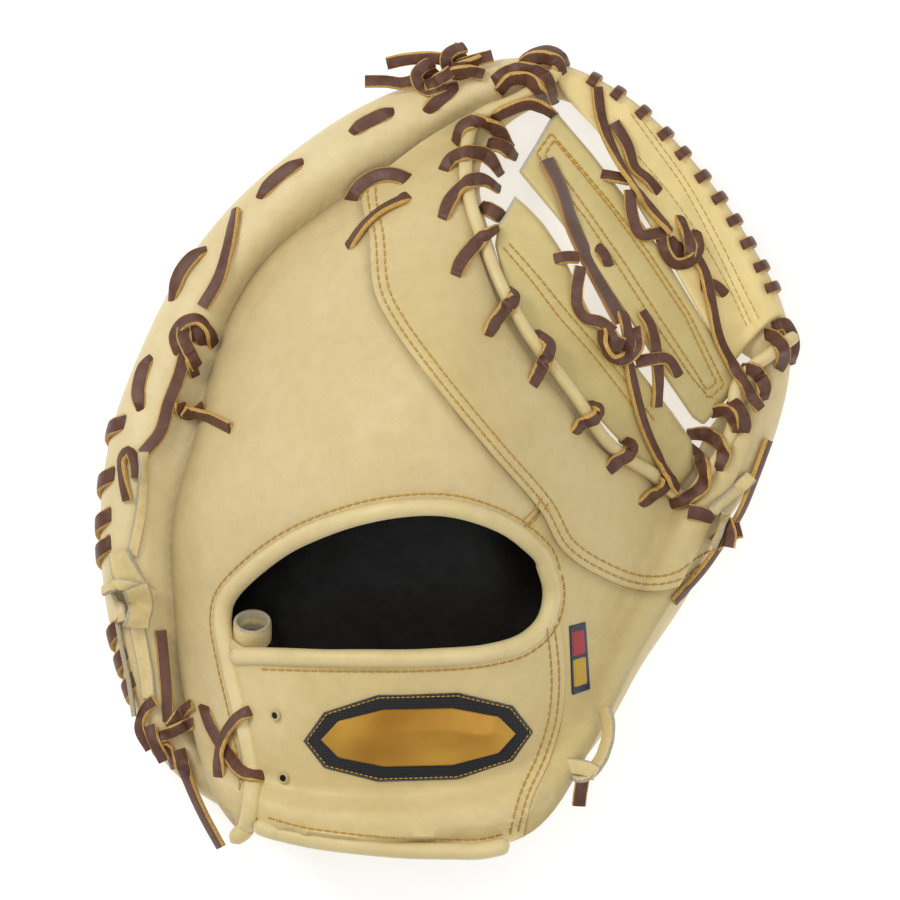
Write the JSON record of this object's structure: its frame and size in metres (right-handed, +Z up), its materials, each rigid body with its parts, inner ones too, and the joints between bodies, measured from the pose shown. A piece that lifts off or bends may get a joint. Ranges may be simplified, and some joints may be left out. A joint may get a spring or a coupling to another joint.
{
  "type": "first baseman mitt",
  "caption": "Laced leather first baseman mitt for the left hand, back up, with an open hand hole, a wrist strap and a strip web.",
  "frame": {"origin": "middle of the footprint, on the surface that the mitt rests on", "axes": "+X towards the thumb side, +Y towards the finger tips, +Z up, out of the back of the hand"},
  "size_m": [0.2822, 0.3244, 0.1152],
  "materials": {
    "leather": "smooth grained cream leather, low sheen",
    "strip_leather": "smooth folded leather, low sheen",
    "binding_leather": "rolled leather binding, low sheen",
    "lace_leather": "dark brown rawhide with tan edges",
    "lining_leather": "black leather, slight sheen",
    "patch_cloth": "gold relief with a black edge",
    "tag_cloth": "woven cloth"
  },
  "bodies": {
    "root": {"palm_shell": "leather", "palm_lining": "lining_leather", "finger_back_panel": "leather", "crotch_panel": "leather", "thumb_back_panel": "leather", "wrist_strap": "leather", "finger_binding": "binding_leather", "strap_binding": "binding_leather", "strap_hem": "binding_leather", "web_welt": "binding_leather", "web_strip_inner": "strip_leather", "web_strip_middle": "strip_leather", "web_strip_outer": "strip_leather", "strap_patch": "patch_cloth", "woven_tag": "tag_cloth", "finger_loop": "leather", "side_thong": "leather", "thumb_ring": "leather", "thumb_toggle": "leather", "welt_lace": "lace_leather", "rim_lace_finger": "lace_leather", "rim_lace_web": "lace_leather", "web_lace_inner": "lace_leather", "web_lace_outer": "lace_leather", "tip_lace_outer": "lace_leather", "tip_lace_inner": "lace_leather", "seam_lace_lower": "lace_leather", "seam_lace_upper": "lace_leather", "side_lace": "lace_leather", "side_lace_tail": "lace_leather", "strap_lace_lower": "lace_leather", "strap_lace_upper": "lace_leather", "heel_lace": "lace_leather", "heel_lace_wrap": "lace_leather", "thumb_lace": "lace_leather"}
  },
  "joints": []
}
